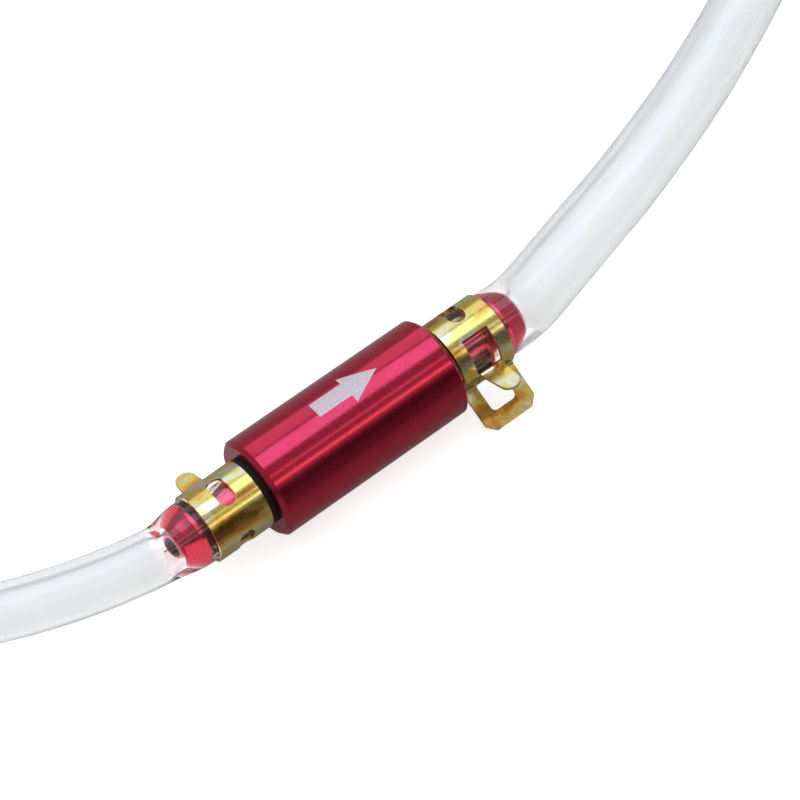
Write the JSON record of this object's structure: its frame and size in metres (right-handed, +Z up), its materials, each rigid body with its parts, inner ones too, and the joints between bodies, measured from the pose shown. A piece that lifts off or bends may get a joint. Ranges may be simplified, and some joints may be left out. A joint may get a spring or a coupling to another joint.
{
  "type": "inline fuel filter",
  "caption": "Red cylindrical inline fuel filter with a flow arrow, barbed ends in clear hoses held by spring band clamps.",
  "frame": {"origin": "under the middle of the filter body, on the surface that the clamps' wide tangs stand on", "axes": "+X along the filter's axis in the direction of flow, +Z up"},
  "size_m": [0.2434, 0.0779, 0.0163],
  "materials": {
    "red_anodised": "bright red anodised, fine turned lines",
    "etched_arrow": "matt etched silver",
    "black_rubber": "satin",
    "zinc_steel": "zinc plated",
    "perforated_steel": "stainless",
    "steel_mesh": "fine woven stainless",
    "spring_steel": "drawn wire",
    "clear_hose": "clear milky vinyl",
    "yellow_zinc": "yellow zinc passivated, iridescent"
  },
  "bodies": {
    "filter_body": {"filter_shell": "red_anodised", "flow_arrow": "etched_arrow", "inlet_stop_ring": "black_rubber", "inlet_hose_cuff": "clear_hose", "inlet_hose": "clear_hose", "inlet_hose_end": "clear_hose"},
    "outlet_line": {"outlet_stop_ring": "black_rubber", "outlet_hose_cuff": "clear_hose", "outlet_hose": "clear_hose", "outlet_hose_end": "clear_hose"},
    "outlet_cap": {"outlet_cap": "red_anodised", "cap_o_ring": "black_rubber", "element_spring": "spring_steel"},
    "filter_element": {"element_seal": "black_rubber", "element_inlet_cap": "zinc_steel", "element_core": "perforated_steel", "element_mesh": "steel_mesh", "element_outlet_cap": "zinc_steel"},
    "inlet_clamp": {"inlet_clamp_frame_half": "yellow_zinc"},
    "inlet_clamp_jaw": {"inlet_clamp_tongue_half": "yellow_zinc"},
    "outlet_clamp": {"outlet_clamp_frame_half": "yellow_zinc"},
    "outlet_clamp_jaw": {"outlet_clamp_tongue_half": "yellow_zinc"}
  },
  "joints": [
    {"name": "outlet_line_slide", "type": "slide", "parent": "filter_body", "child": "outlet_line", "axis": [1, 0, 0], "range_m": [0, 0.005]},
    {"name": "cap_unscrew", "type": "hinge", "parent": "outlet_line", "child": "outlet_cap", "pos_m": [0, 0, 0.00879], "axis": [1, 0, 0], "range_deg": [0, 1800.1]},
    {"name": "element_lift", "type": "slide", "parent": "filter_body", "child": "filter_element", "axis": [1, 0, 0], "range_m": [0, 0.0015], "stiffness_N_per_m": 200, "deforming": ["element_spring"]},
    {"name": "inlet_clamp_slide", "type": "slide", "parent": "filter_body", "child": "inlet_clamp", "axis": [-1, 0, 0], "range_m": [0, 0.002]},
    {"name": "inlet_clamp_squeeze", "type": "hinge", "parent": "inlet_clamp", "child": "inlet_clamp_jaw", "pos_m": [-0.02075, -0.00519, 0.00915], "axis": [-1, 0, 0], "range_deg": [0, 10], "stiffness_Nm_per_rad": 0.05},
    {"name": "outlet_clamp_slide", "type": "slide", "parent": "outlet_line", "child": "outlet_clamp", "axis": [1, 0, 0], "range_m": [0, 0.002]},
    {"name": "outlet_clamp_squeeze", "type": "hinge", "parent": "outlet_clamp", "child": "outlet_clamp_jaw", "pos_m": [0.02075, 0.0055, 0.00917], "axis": [1, 0, 0], "range_deg": [0, 10], "stiffness_Nm_per_rad": 0.05}
  ],
  "couplings": [
    {"joint": "cap_unscrew", "follows": "outlet_line_slide", "rad_per_m": 6283.2}
  ]
}
